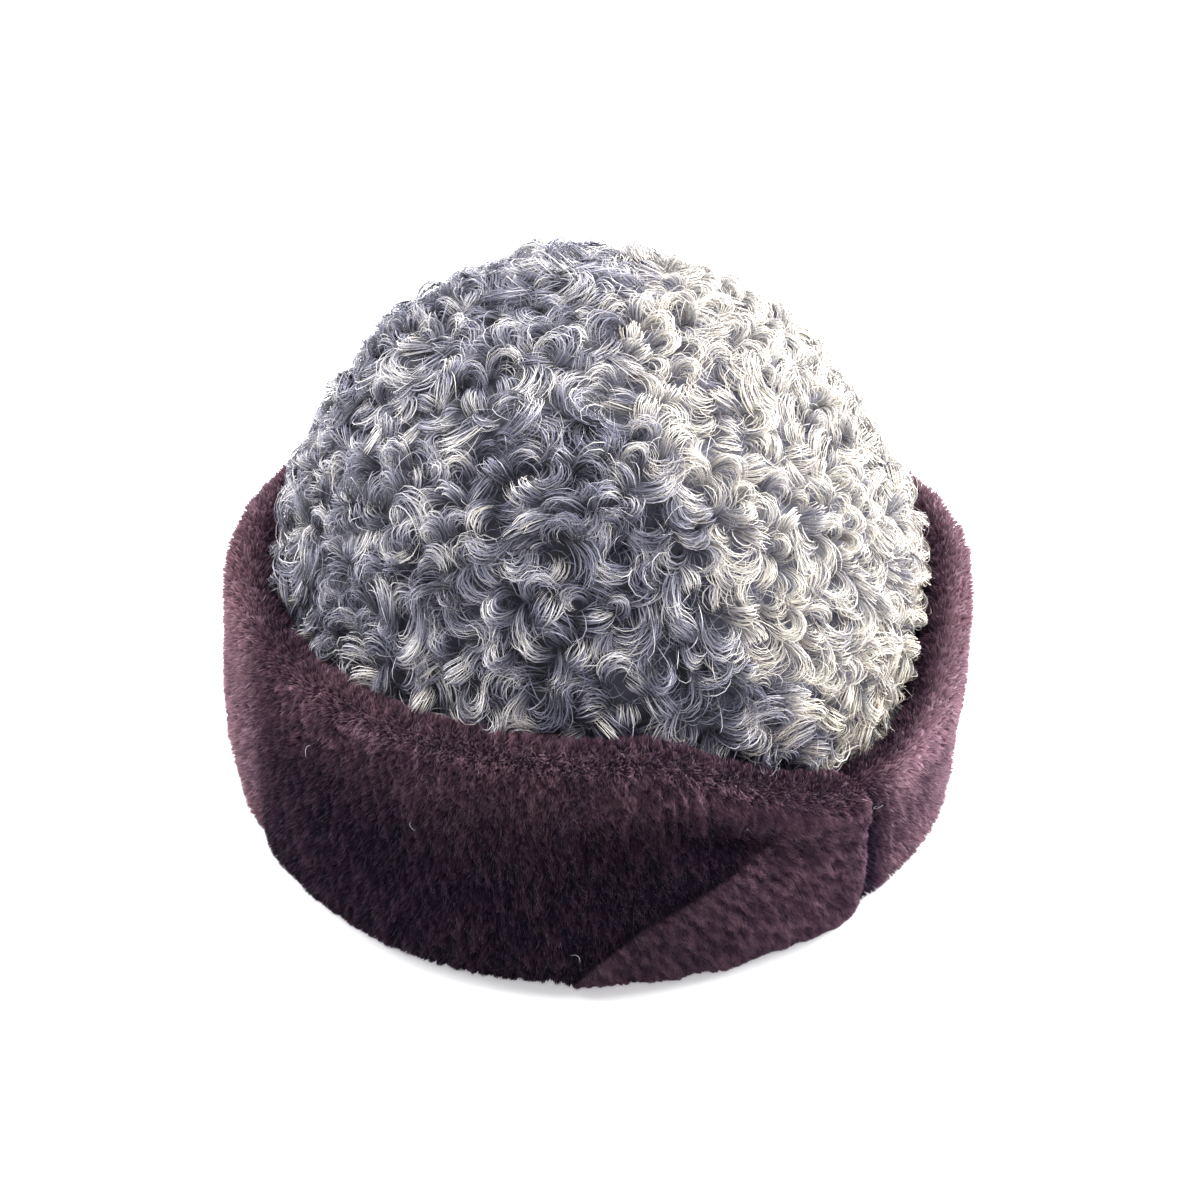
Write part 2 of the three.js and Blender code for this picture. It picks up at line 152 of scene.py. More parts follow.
# The panels' detail: the steps of the skin's grid in each of its five stages, and for each panel the columns
# of the grid, the number of hairs and the stages that they cover.
STAGE_STEPS = (4, 6, 26, 12, 14)
FRONT_DETAIL = (150, 125000, (1.0, 4.6))
CORNER_DETAIL = (70, 45000, (1.0, 3.1))
BACK_DETAIL = (230, 125000, (1.0, 4.6))

# The cuff round the hat, in degrees past the slit: rim as a share of CUFF_HEIGHT, foot, lip and room as
# shares of CUFF_THICKNESS.
CUFF_ROWS = np.array([
    (-134, 0.945, 0.92, 1.00, 0.32),
    (-104, 0.965, 0.95, 0.95, 0.24),
    (-74, 0.990, 0.99, 0.82, 0.13),
    (-44, 1.000, 1.00, 0.76, 0.10),
    (-34, 0.985, 1.00, 0.77, 0.10),
    (-24, 0.870, 1.00, 0.80, 0.11),
    (-14, 0.745, 0.99, 0.85, 0.13),
    (-4, 0.650, 0.97, 0.90, 0.16),
    (4, 0.605, 0.95, 0.93, 0.20),
    (16, 0.595, 0.93, 0.96, 0.25),
    (26, 0.635, 0.92, 0.99, 0.30),
    (36, 0.790, 0.92, 1.01, 0.34),
    (46, 0.900, 0.92, 1.00, 0.35),
    (61, 0.935, 0.92, 0.98, 0.33),
    (96, 0.880, 0.91, 0.85, 0.20),
    (136, 0.850, 0.90, 0.75, 0.12),
    (176, 0.870, 0.91, 0.84, 0.20),
    (211, 0.930, 0.92, 0.97, 0.30),
])
CUFF_COLUMN = {"rim": 1, "foot": 2, "lip": 3, "room": 4}

# Rolls and dents: degrees past the slit, share of the rim's height, depth as a share of CUFF_THICKNESS,
# width in degrees and tallness as a share of the rim's height.
RELIEF_ROWS = np.array([
    (-66, 0.80, 0.055, 38, 0.12),
    (-26, 0.84, 0.060, 18, 0.10),
    (-38, 0.65, -0.075, 14, 0.06),
    (-22, 0.68, -0.130, 10, 0.09),
    (-66, 0.42, -0.050, 18, 0.16),
    (-18, 0.36, 0.070, 14, 0.20),
    (CREASE_ANGLE - SLIT_ANGLE, 0.50, -0.090, 4, 0.60),
    (8, 0.50, -0.060, 8, 0.50),
    (34, 0.30, -0.060, 12, 0.14),
    (50, 0.78, 0.050, 16, 0.20),
    (72, 0.92, -0.240, 20, 0.30),
    (-119, 0.42, 0.170, 24, 0.36),
    (-30, 0.02, -0.070, 34, 0.16),
    (-82, 0.10, 0.090, 34, 0.26),
])

# The seam over the corner panel: degrees past the slit and share of CUFF_HEIGHT.
SEAM_ROWS = np.array([
    (-51.5, -0.100),
    (-46.0, 0.080),
    (-37.0, 0.270),
    (-28.5, 0.390),
    (-20.0, 0.500),
    (-11.0, 0.555),
    (-4.0, 0.535),
    (6.0, 0.500),
])

# Where the hairs' colours lie on their map: tone runs across it, and each band of its height holds one
# warmth, from root to tip. MAP_SPREAD keeps a triangle's corners apart on it.
BANDS = 8
BAND_MARGIN = 0.06
MAP_SPREAD = 0.004
ROOT_SHADE = 0.35

# The photo's view and the studio, in metres, degrees and watts
CAMERA_ELEVATION = 37.0
CAMERA_DISTANCE = 1.0
CAMERA_LENS = 92.2
CAMERA_AIM = Vector((AXIS[0], AXIS[1] - 6.7, 65.9)) * MM
FLOOR_SIZE = 12.0
LAMP_AIM = Vector((0, 0, 0.1))


def lattice(cells, seed):
    """A steady random number from -1 to 1 for each whole-number cell: a hash of its three indices."""
    mixed = cells[..., 0] * 73856093 ^ cells[..., 1] * 19349663
    mixed = mixed ^ cells[..., 2] * 83492791 ^ seed * 2654435761
    mixed = (mixed ^ (mixed >> 13)) * 1274126177 & 0x7FFFFFFF
    return mixed / 0x3FFFFFFF - 1


def noise(points, size, seed):
    """Smooth noise from -1 to 1: the lattice's values at the eight corners of each point's cell of the given
    size, blended with eased weights."""
    scaled = points / size
    cell = np.floor(scaled).astype(np.int64)
    part = scaled - cell
    part = part * part * (3 - 2 * part)
    total = np.zeros(points.shape[:-1])
    for corner in np.ndindex(2, 2, 2):
        corner = np.array(corner)
        weight = np.prod(np.where(corner == 1, part, 1 - part), axis=-1)
        total += weight * lattice(cell + corner, seed)
    return total


def unit(vectors):
    """Vectors divided by their length."""
    return vectors / np.maximum(np.linalg.norm(vectors, axis=-1, keepdims=True), 1e-9)


def smooth(value, low, high):
    """0 below low, 1 above high and an eased step between them: 3t^2 - 2t^3."""
    t = np.clip((value - low) / (high - low), 0, 1)
    return t * t * (3 - 2 * t)


def wall_reach(cosine, sine, outset):
    """Radius of the crown's oval wall in a direction, set out by outset: an ellipse in polar form."""
    return 1 / np.hypot(cosine / (CROWN_HALF[0] + outset), sine / (CROWN_HALF[1] + outset))


def over_crown(direction, outset):
    """The point of the crown, set out by outset, for a direction from its middle. Where the direction points
    up, a quarter ellipse from the belly to the top, a little slimmer at the shoulder and higher at the top,
    whose middle drifts with the leaning top. Where it points down, the straight wall below the belly."""
    flat = np.maximum(np.hypot(direction[..., 0], direction[..., 1]), 1e-9)
    cosine, sine = direction[..., 0] / flat, direction[..., 1] / flat
    lift = np.clip(direction[..., 2], 0, 1)
    slim = 1 - SHOULDER_SLIM * np.sin(np.pi * lift) ** 2
    reach = wall_reach(cosine, sine, outset) * np.sqrt(1 - lift ** 2) * slim
    drop = np.minimum(direction[..., 2] / flat, 0) * (CROWN_TOP - CROWN_BELLY)
    return np.stack([
        AXIS[0] + reach * cosine + CROWN_LEAN[0] * lift,
        AXIS[1] + reach * sine + CROWN_LEAN[1] * lift,
        CROWN_BELLY + lift * (CROWN_TOP + outset - CROWN_BELLY) + TOP_PEAK * lift ** 3 + drop,
    ], axis=-1)


def periodic(table, column, angle):
    """A column of a table of rows round the hat at any angle: the smooth cubic through the rows, whose slope
    at each row is that of the line between its two neighbours."""
    at, value = table[:, 0], table[:, column]
    past = (angle - SLIT_ANGLE - at[0]) % 360 + at[0]
    count = len(at)
    low = np.clip(np.searchsorted(at, past, side="right") - 1, 0, count - 1)
    wide = np.concatenate([at[-1:] - 360, at, at[:1] + 360, at[1:2] + 360])
    high = np.concatenate([value[-1:], value, value[:1], value[1:2]])
    slope = (high[2:] - high[:-2]) / (wide[2:] - wide[:-2])
    span = wide[low + 2] - wide[low + 1]
    t = (past - wide[low + 1]) / span
    first = (2 * t ** 3 - 3 * t ** 2 + 1) * high[low + 1] + (t ** 3 - 2 * t ** 2 + t) * span * slope[low]
    return first + (3 * t ** 2 - 2 * t ** 3) * high[low + 2] + (t ** 3 - t ** 2) * span * slope[low + 1]


def cuff_size(column, angle):
    """A size of the cuff at an angle."""
    return periodic(CUFF_ROWS, CUFF_COLUMN[column], angle)


def seam_height(angle):
    """Height of the corner panel's seam at an angle, straight between its rows."""
    return CUFF_HEIGHT * np.interp(angle - SLIT_ANGLE, SEAM_ROWS[:, 0], SEAM_ROWS[:, 1])


def leather_reach(angle):
    """Radius of the leather's outside at an angle."""
    return wall_reach(np.cos(np.radians(angle)), np.sin(np.radians(angle)), 0)


def relief(angle, up):
    """How far the cuff's outside stands out at a share of its height: the sum of soft round bumps."""
    depth = np.zeros(np.broadcast(angle, up).shape)
    for past, at, deep, wide, tall in RELIEF_ROWS:
        turned = (angle - SLIT_ANGLE - past + 180) % 360 - 180
        depth = depth + deep * np.exp(-(turned / wide) ** 2 - ((up - at) / tall) ** 2)
    return depth * CUFF_THICKNESS


def slit_proud(angle):
    """How far the front end of the band stands out: an eased rise towards the slit that rounds off at the
    very end. Just past the slit the band sinks instead, and rises back over SLIT_SUNK_WIDE degrees."""
    before = SLIT_ANGLE - (angle + 180) % 360 + 180
    swell = (1 - smooth(before, 4, 18)) * (0.5 + 0.5 * smooth(before, 0, 3))
    sunk = SLIT_SUNK * (1 - smooth(-before, 0, SLIT_SUNK_WIDE))
    return np.where(before >= 0, SLIT_PROUD * swell, -sunk)


def ridge_share(angle):
    """How far the rim's top is drawn to its outer edge as a ridge, from 0 to 1: most at the right of the
    slit, nothing elsewhere."""
    past = angle - SLIT_ANGLE
    return smooth(past, 0, 12) * (1 - smooth(past, 45, 75))


def outside_reach(angle, height, proud):
    """Radius of the cuff's outside: the leather's, with a straight slope from foot to lip, the relief, and
    proud on top."""
    up = height / (CUFF_HEIGHT * cuff_size("rim", angle))
    slope = cuff_size("foot", angle) * (1 - up) + cuff_size("lip", angle) * up
    return leather_reach(angle) + CUFF_THICKNESS * slope + relief(angle, up) + proud


def inside_reach(angle, height):
    """Radius of the cuff's inside: against the leather up to the seat's top, then out to the room that it
    leaves for the fleece."""
    room = CUFF_THICKNESS * cuff_size("room", angle)
    share = np.clip((height - SEAT_TOP) / (ROOM_START - SEAT_TOP), 0, 1)
    return leather_reach(angle) + SEAT_GAP + (room - SEAT_GAP) * share


class Panel:
    """A panel of the cuff between two angles, as a closed loop at every angle: along its lower edge, round
    the foot, up the outside, over its upper edge and down the inside. stage runs from 0 to 5 round the loop.
    side says how it lies to the seam: 1 above it, -1 below it, 0 away from it. rounds are the sizes of the
    rounding at its two ends, and slant turns its tufts."""

    def __init__(self, start, end, side, rounds, slant):
        self.start, self.end, self.side, self.rounds, self.slant = start, end, side, rounds, slant

    def end_inset(self, angle):
        """How far the surface is set in near the ends: a quarter circle of each end's rounding."""
        length = np.radians(1) * CROWN_HALF.mean()
        total = 0
        for away, size in ((angle - self.start, self.rounds[0]), (self.end - angle, self.rounds[1])):
            near = np.clip(1 - away * length / size, 0, 1)
            total = total + 0.8 * size * (1 - np.sqrt(1 - near ** 2))
        return total

    def outside(self, angle, height):
        """Radius of the outside: the cuff's, drawn in by a quarter ellipse at the foot, with the rise at the
        slit growing from the foot up. Above the seam it sinks into a valley, and below it swells to a lip,
        both rounded off at the edge and fading out towards the slit."""
        foot = np.clip(1 - height / FOOT_ROUND, 0, 1)
        proud = slit_proud(angle) * (0.4 + 0.6 * smooth(height, *SLIT_GROWTH))
        reach = outside_reach(angle, height, proud) - FOOT_INSET * (1 - np.sqrt(1 - foot ** 2))
        if self.side == 0:
            return reach
        away = np.maximum(self.side * (height - seam_height(angle)), 0)
        fade = 1 - 0.95 * smooth(angle - SLIT_ANGLE, -36, -16)
        rise = smooth(seam_height(angle), 0, 18)
        round_off = SEAM_ROUND * (1 - np.sqrt(1 - np.clip(1 - away / SEAM_ROUND, 0, 1) ** 2))
        if self.side > 0:
            swell = -SEAM_VALLEY * np.exp(-(away / SEAM_VALLEY_WIDE) ** 2)
        else:
            swell = SEAM_LIP * np.exp(-(away / SEAM_LIP_WIDE) ** 2)
        return reach + fade * (rise * swell - round_off)

    def point(self, angle, stage, inset=0.0):
        """The surface's point, set inwards by inset: the reach and the height of the loop's stage, turned to
        the angle."""
        rim = CUFF_HEIGHT * cuff_size("rim", angle)
        seam = np.clip(seam_height(angle), 0, None)
        low = seam if self.side > 0 else 0 * rim
        if self.side < 0:
            shoulder = np.maximum(np.minimum(seam, rim), 0.3)
            top = 0 * rim
        else:
            shoulder = rim - RIM_ROUND
            top = RIM_ROUND - inset
        edge = np.minimum(FOOT_ROUND, 0.5 * np.maximum(shoulder - low, 0.1))
        part = stage % 1
        foot_height = low + edge * (1 - np.cos(np.radians(90 * part)))
        height = low + edge + (shoulder - low - edge) * part
        down = shoulder + (low - shoulder) * part
        outer_low, inner_low = self.outside(angle, low) - inset, inside_reach(angle, low) + inset
        outer, inner = self.outside(angle, shoulder) - inset, inside_reach(angle, shoulder) + inset
        over = part ** (1 - 0.25 * ridge_share(angle))
        which = np.clip(np.floor(stage), 0, 4).astype(int)
        reach = np.choose(which, [
            inner_low + (outer_low - inner_low) * part,
            self.outside(angle, foot_height) - inset,
            self.outside(angle, height) - inset,
            (outer + inner) / 2 + (outer - inner) / 2 * np.cos(np.pi * part),
            inside_reach(angle, down) + inset,
        ])
        lift = np.choose(which, [
            low + 0 * part,
            foot_height,
            height,
            shoulder + top * np.sin(np.pi * over),
            down,
        ])
        lift = np.maximum(lift, np.minimum(inset, 1.2) + LOWEST_SKIN)
        radians = np.radians(angle)
        return np.stack([
            AXIS[0] + reach * np.cos(radians),
            AXIS[1] + reach * np.sin(radians),
            lift,
        ], axis=-1)

    def grid(self, columns, stage_steps, inset):
        """The inset surface as a grid of columns by stages, and the stage of each point."""
        angle = np.linspace(self.start, self.end, columns)
        stage = np.concatenate([np.arange(n) / n + k for k, n in enumerate(stage_steps)])
        grid = self.point(angle[:, None], stage[None, :], inset + self.end_inset(angle)[:, None])
        return grid, np.broadcast_to(stage, grid.shape[:2])


def rings(grid, first, last):
    """A closed surface of triangles: a pole, rows of closed rings, and a pole. Returns points and faces."""
    rows, columns = grid.shape[:2]
    points = np.concatenate([first[None], grid.reshape(-1, 3), last[None]])
    column = np.arange(columns)
    after = (column + 1) % columns
    row = 1 + np.arange(rows - 1)[:, None] * columns
    near, far = row + column, row + columns + column
    near_after, far_after = row + after, row + columns + after
    end = len(points) - 1 - columns
    faces = [
        np.stack([0 * column, 1 + column, 1 + after], -1),
        np.stack([near, far, far_after], -1).reshape(-1, 3),
        np.stack([near, far_after, near_after], -1).reshape(-1, 3),
        np.stack([end + column, 0 * column + len(points) - 1, end + after], -1),
    ]
    return points, np.concatenate(faces)


def dome_shell(outer, inner, hem, rows, columns):
    """A closed dome shell: rings from the top down the outer surface to the hem, and up the inner one to the
    top. The rings' heights follow a sine above the belly and are even below it. outer is a function that
    gives the outset for directions, and inner is a plain outset."""
    below = rows // 4
    rise = np.concatenate([
        np.cos(np.linspace(0, np.pi / 2, rows - below + 1)[1:]),
        -np.linspace(0, 1, below + 1)[1:] * (CROWN_BELLY - hem) / (CROWN_TOP - CROWN_BELLY),
    ])
    spin = np.linspace(0, 2 * np.pi, columns, endpoint=False)
    flat = np.where(rise >= 0, np.sqrt(np.clip(1 - rise ** 2, 0, 1)), 1)
    direction = np.stack([
        flat[:, None] * np.cos(spin),
        flat[:, None] * np.sin(spin),
        np.broadcast_to(rise[:, None], (len(rise), columns)),
    ], -1)
    # Almost straight up, so that its flat part still has a direction
    up = np.array([[1e-6, 0.0, 1.0]])
    grid = np.concatenate([over_crown(direction, outer(direction)), over_crown(direction[::-1], inner)])
    return rings(grid, over_crown(up, outer(up))[0], over_crown(up, inner)[0])


def add_mesh(name, points, faces, material, fur=None):
    """A smooth mesh of triangles from points in millimetres. fur holds each point's tone, its place from
    root to tip and its warmth. They go to a colour map: tone across, and upwards the band of the warmth with
    the place from root to tip in it."""
    mesh = bpy.data.meshes.new(name)
    corners = np.asarray(faces, np.int32)
    mesh.vertices.add(len(points))
    mesh.vertices.foreach_set("co", (points * MM).astype(np.float32).ravel())
    mesh.loops.add(corners.size)
    mesh.loops.foreach_set("vertex_index", corners.ravel())
    mesh.polygons.add(len(corners))
    mesh.polygons.foreach_set("loop_start", np.arange(0, corners.size, 3, dtype=np.int32))
    mesh.update(calc_edges=True)
    mesh.polygons.foreach_set("use_smooth", np.full(len(corners), True))
    if fur:
        tone, along, warm = fur
        band = np.round(np.clip(warm, 0, 1) * (BANDS - 1))
        u = np.clip(tone[corners] + MAP_SPREAD * np.array([-1, 1, 1]), 0.01, 0.99)
        v = (band[corners] + BAND_MARGIN + (1 - 2 * BAND_MARGIN) * np.clip(along[corners], 0, 1)) / BANDS
        where = np.stack([u, v], axis=-1).astype(np.float32).ravel()
        for map_name in ("fur", "OFBake"):
            layer = mesh.uv_layers.new(name=map_name)
            layer.data.foreach_set("uv", where)
        mesh.uv_layers.active = mesh.uv_layers["fur"]
        mesh.uv_layers["fur"].active_render = True
    mesh.materials.append(material)
    piece = bpy.data.objects.new(name, mesh)
    bpy.context.scene.collection.objects.link(piece)
    return piece


def ribbons(paths, across, width, taper):
    """Flat hairs along paths, an array of hairs by steps: two points at each step, half the width to either
    side, and one at the tip. The width follows the taper. Returns points and triangles."""
    hairs, steps = paths.shape[:2]
    half = across * (width[:, None] * taper[None, :] / 2)[..., None]
    sides = np.stack([paths - half, paths + half], axis=2)[:, :-1].reshape(hairs, -1, 3)
    points = np.concatenate([sides, paths[:, -1:]], axis=1).reshape(-1, 3)
    strip = np.arange(2 * steps - 3)
    turned = strip % 2
    triangles = np.stack([strip, strip + 1 + turned, strip + 2 - turned], -1)
    return points, (np.arange(hairs)[:, None, None] * (2 * steps - 1) + triangles).reshape(-1, 3)


def at_ribbons(values):
    """Values of hairs by steps at the ribbons' points: twice at each step, once at the tip."""
    return np.repeat(values, 2, axis=1)[:, :-1].reshape(-1)


def cream_share(points):
    """How cream the fleece is at a point, from 0 to 1: an eased step across a slanting line down the crown's
    front, moved by noise."""
    x, y, z = (points[..., k] for k in range(3))
    lean = 0.225 - 0.325 * np.tanh((y - AXIS[1]) / 40)
    line = 5 + (CROWN_TOP + 3 - z) * lean
    return smooth(x - line + 9 * noise(points, 22, 5), -9, 13)


def crown_roots(height, spin):
    """Roots of hairs as directions from the crown's middle: the points of a unit ball at the given heights
    and angles, without those whose place on the crown is hidden deep in the cuff. Also gives their angles
    round the hat."""
    flat = np.sqrt(np.clip(1 - height ** 2, 0, 1))
    root = np.stack([np.cos(spin) * flat, np.sin(spin) * flat, height], -1)
    angle = np.degrees(np.arctan2(root[:, 1], root[:, 0]))
    keep = over_crown(root, 0)[:, 2] > CUFF_HEIGHT * cuff_size("rim", angle) - HIDDEN_DEPTH
    return root[keep], angle[keep]


def fleece():
    """The crown's locks, with their roots on a spiral of even steps down the crown. Each lock is a bundle of
    fine hairs that follow one curl side by side: its heading turns faster and faster along it, its height is
    half a sine wave, and its section is round. Returns the hairs' paths, their side vectors, their tone and
    warmth, and the quarter of the crown that each lock is in, counted from the front."""
    index = np.arange(LOCK_COUNT)
    height = 1 + (HEM_RISE - 1) * (index + 0.5) / LOCK_COUNT
    spin = index * math.pi * (3 - math.sqrt(5)) + RNG.normal(0, 0.02, LOCK_COUNT)
    root, angle = crown_roots(height, spin)
    count = len(root)
    middle = over_crown(root, COLOUR_OUTSET)

    pipe = RNG.random(count) < PIPE_SHARE
    heading = 2.2 * np.pi * noise(middle, 30, 12) + RNG.normal(0, 0.9, count)
    side = np.where(RNG.random(count) < 0.5, -1.0, 1.0)
    length = np.where(pipe, RNG.uniform(*PIPE_LENGTH, count), RNG.uniform(*CURL_LENGTH, count))
    width = np.where(pipe, RNG.uniform(*PIPE_WIDTH, count), RNG.uniform(*CURL_WIDTH, count))
    bend = np.where(pipe, RNG.uniform(*PIPE_BEND, count), RNG.uniform(*CURL_BEND, count))
    tall = LOCK_HEIGHT * RNG.uniform(*LOCK_TALL, count)

    hairs = HAIRS_PER_LOCK
    t = np.linspace(0, 1, HAIR_STEPS)
    across = np.linspace(-1, 1, hairs) + RNG.normal(0, 0.08, (count, hairs))
    depth = RNG.random((count, hairs)) ** 1.5
    start = RNG.normal(0, 0.07, (count, hairs, 1))
    wave = RNG.normal(0, 1, (count, hairs, 1))
    unruly = (RNG.random((count, hairs, 1)) < UNRULY_SHARE) * RNG.normal(0, 1, (count, hairs, 1))
    turn = bend[:, None, None] * np.clip(t + start, 0, 2) ** 1.4
    turn = turn + 0.15 * wave * np.sin(2.2 * np.pi * t + 5 * wave) + 0.55 * unruly * t
    step = length[:, None, None] * RNG.uniform(0.82, 1.12, (count, hairs, 1)) / (HAIR_STEPS - 1)
    ahead = np.cumsum(np.cos(turn), -1) * step
    aside = np.cumsum(np.sin(turn), -1) * step * side[:, None, None]
    ahead = ahead - ahead.mean((1, 2), keepdims=True)
    aside = aside - aside.mean((1, 2), keepdims=True)
    fan = 0.50 + 0.50 * np.sin(np.pi * np.clip(0.08 + 0.7 * t, 0, 1))
    fan = fan * (1 - 0.72 * smooth(t, 0.45, 1.0) * (~pipe)[:, None, None])
    spread = across[..., None] * width[:, None, None] / 2 * fan
    x = ahead - np.sin(turn) * side[:, None, None] * spread
    y = aside + np.cos(turn) * spread
    rise = np.sin(np.pi * np.clip(0.06 + 0.88 * t + 0.6 * start, 0, 1)) ** 0.8
    section = np.sqrt(np.clip(1 - 0.8 * across ** 2, 0.05, 1))[..., None]
    lift = tall[:, None, None] * rise * section - 2.6 * depth[..., None] * rise + 1.1 * np.abs(unruly) * t
    cosine, sine = np.cos(heading)[:, None, None], np.sin(heading)[:, None, None]
    x, y = x * cosine - y * sine, x * sine + y * cosine
    paths, ribbon_side = lay_hairs(root, x, y, lift, np.radians(LOCK_ROLL) * across[..., None])
    tone, warm = lock_colours(middle, t, across, depth, rise * section)
    quarter = np.floor(((angle + 135) % 360) / 90).astype(int)
    return paths, ribbon_side, tone, warm, quarter


def lock_colours(middle, t, across, depth, crest):
    """Tone and warmth of the locks' hairs. Each lock has a tone of its own, paler and more even where the
    fleece is cream, and each strand in it a tone that differs a little and blends into the next. Some hairs
    are white, and deep ones are darker: painted shade under the lock. Along each hair the tone climbs to the
    tip, and it climbs with the lock's crest: painted light on the lock's top. Cream and low locks are the
    warmest."""
    count, hairs = across.shape
    cream = cream_share(middle)
    low = smooth(-middle[:, 2], -100, -70)
    even = 1 - 0.55 * cream
    lock_tone = 0.475 + 0.325 * cream - 0.02 * low
    lock_tone += even * (0.15 * noise(middle, 15, 9) + RNG.normal(0, 0.12, count))
    place = (np.clip(across, -1, 1) + 1) / 2 * (STRANDS - 1)
    before = np.minimum(place.astype(int), STRANDS - 2)
    strand = RNG.normal(0, 0.15, (count, STRANDS)) * even[:, None]
    lock = np.arange(count)[:, None]
    share = smooth(place - before, 0, 1)
    strand_tone = strand[lock, before] * (1 - share) + strand[lock, before + 1] * share
    white = RNG.random((count, hairs)) < WHITE_SHARE + 0.10 * cream[:, None]
    tone = lock_tone[:, None] + strand_tone + RNG.normal(0, 0.05, (count, hairs)) + 0.22 * white
    # Painted shade on the hairs deep in the lock, and below it painted light on the lock's crest
    tone -= (0.28 - 0.16 * cream[:, None]) * depth
    climb = (0.80 + 0.10 * low - 0.38 * cream)[:, None, None]
    tone = tone[..., None] + climb * (t ** 1.3 - 0.42) + 0.12 * (crest - 0.5)
    warm = 0.34 + 0.42 * cream[:, None] + 0.20 * low[:, None] + RNG.normal(0, 0.14, (count, hairs))
    return tone, warm


def lay_hairs(root, x, y, lift, roll):
    """Lays plane curves on the crown: x and y run east and north on the plane that touches the unit ball at
    each root, the sum is drawn back to the ball, and lift is added to the mat's outset. Also gives each
    step's side vector, square to the hair and to the crown's normal turned by roll."""
    east = unit(np.stack([-root[:, 1], root[:, 0], 0 * root[:, 0]], -1))
    north = np.cross(root, east)
    plane = east[:, None, None] * x[..., None] + north[:, None, None] * y[..., None]
    direction = unit(root[:, None, None] + plane / CROWN_HALF.mean())
    paths = over_crown(direction, MAT_OUTSET + lift)
    outwards = unit(over_crown(direction, MAT_OUTSET + 1.0 + lift) - paths)
    along = unit(np.gradient(paths, axis=2))
    left = np.cross(outwards, along)
    roll = roll + RNG.normal(0, 0.35, x.shape[:2] + (1,))
    facing = outwards * np.cos(roll)[..., None] + left * np.sin(roll)[..., None]
    return paths, unit(np.cross(along, facing))


def fuzz():
    """Short fine hairs all over the crown between the locks: arcs of random heading, bend and height, a few
    of them high."""
    height = RNG.uniform(HEM_RISE, 1, FUZZ_COUNT)
    root, _ = crown_roots(height, RNG.uniform(0, 2 * np.pi, FUZZ_COUNT))
    count = len(root)
    t = np.linspace(0, 1, FUZZ_STEPS)
    high = RNG.random((count, 1, 1)) < HIGH_FUZZ_SHARE
    turn = RNG.uniform(0, 2 * np.pi, (count, 1, 1)) + RNG.normal(0, 1.6, (count, 1, 1)) * t
    step = RNG.uniform(*FUZZ_LENGTH, (count, 1, 1)) / (FUZZ_STEPS - 1)
    x, y = np.cumsum(np.cos(turn), -1) * step, np.cumsum(np.sin(turn), -1) * step
    lift = RNG.uniform(*FUZZ_HEIGHT, (count, 1, 1)) + HIGH_FUZZ_LIFT * high
    lift = lift * np.sin(np.pi * (0.1 + 0.75 * t))
    paths, across = lay_hairs(root, x, y, lift, np.zeros((count, 1, 1)))
    cream = cream_share(over_crown(root, COLOUR_OUTSET))[:, None]
    tone = 0.34 + 0.26 * cream + RNG.normal(0, 0.14, (count, 1)) + 0.30 * high[..., 0]
    warm = 0.10 + 0.60 * cream + RNG.normal(0, 0.14, (count, 1))
    return paths, across, tone[..., None] + 0.2 * (t - 0.4), warm


def mat_outset(direction):
    """How far the mat's outside stands out in a direction: an even outset with small lumps of noise."""
    return MAT_OUTSET - 0.6 + 0.5 * noise(direction * 100, 5, 3)


def make_fleece(material):
    """The fleece's pieces: the dark mat that the locks grow from, the fuzz on it, and the locks in four
    quarters."""
    points, faces = dome_shell(mat_outset, MAT_OUTSET - MAT_WALL, FLEECE_HEM, *MAT_GRID)
    # The mat's tone: dark underfur with painted shade in the gaps between the locks, paler where the fleece
    # is cream
    shade = 0.10 + 0.28 * cream_share(points) + 0.08 * noise(points, 6, 4)
    pieces = [add_mesh("fleece_mat", points, faces, material, (shade, 0 * shade + 0.2, 0 * shade))]
    pieces.append(hair_piece("fleece_fuzz", *fuzz(), FUZZ_WIDTH, material))
    *locks, quarter = fleece()
    for number, name in enumerate(("locks_front", "locks_left", "locks_back", "locks_right")):
        here = [values[quarter == number] for values in locks]
        pieces.append(hair_piece(name, *here, HAIR_WIDTH, material))
    return pieces


def hair_piece(name, paths, across, tone, warm, width, material):
    """One mesh of many hairs, thinned at the root and pointed at the tip, each a little wider or finer than
    the next."""
    steps = paths.shape[2]
    paths, across, tone = (values.reshape(-1, steps, *values.shape[3:]) for values in (paths, across, tone))
    place = np.linspace(0, 1, steps)
    taper = np.minimum(0.7 + 1.5 * place, 1) * (1 - 0.75 * smooth(place, 0.55, 1.0))
    points, faces = ribbons(paths, across, width * RNG.uniform(0.6, 1.25, len(paths)), taper)
    along = np.tile(place, (len(paths), 1))
    warm = np.repeat(warm.reshape(-1, 1), steps, axis=1)
    return add_mesh(name, points, faces, material, (at_ribbons(tone), at_ribbons(along), at_ribbons(warm)))


def tufts(points, angle, slant):
    """How near places are to the middle of a tuft: streaks of noise, and half as strong ones of half their
    size."""
    coarse = streaks(points, angle, slant, TUFT_WIDE, TUFT_LONG, 21)
    return coarse + 0.5 * streaks(points, angle, slant, TUFT_WIDE / 2, TUFT_LONG / 2, 22)


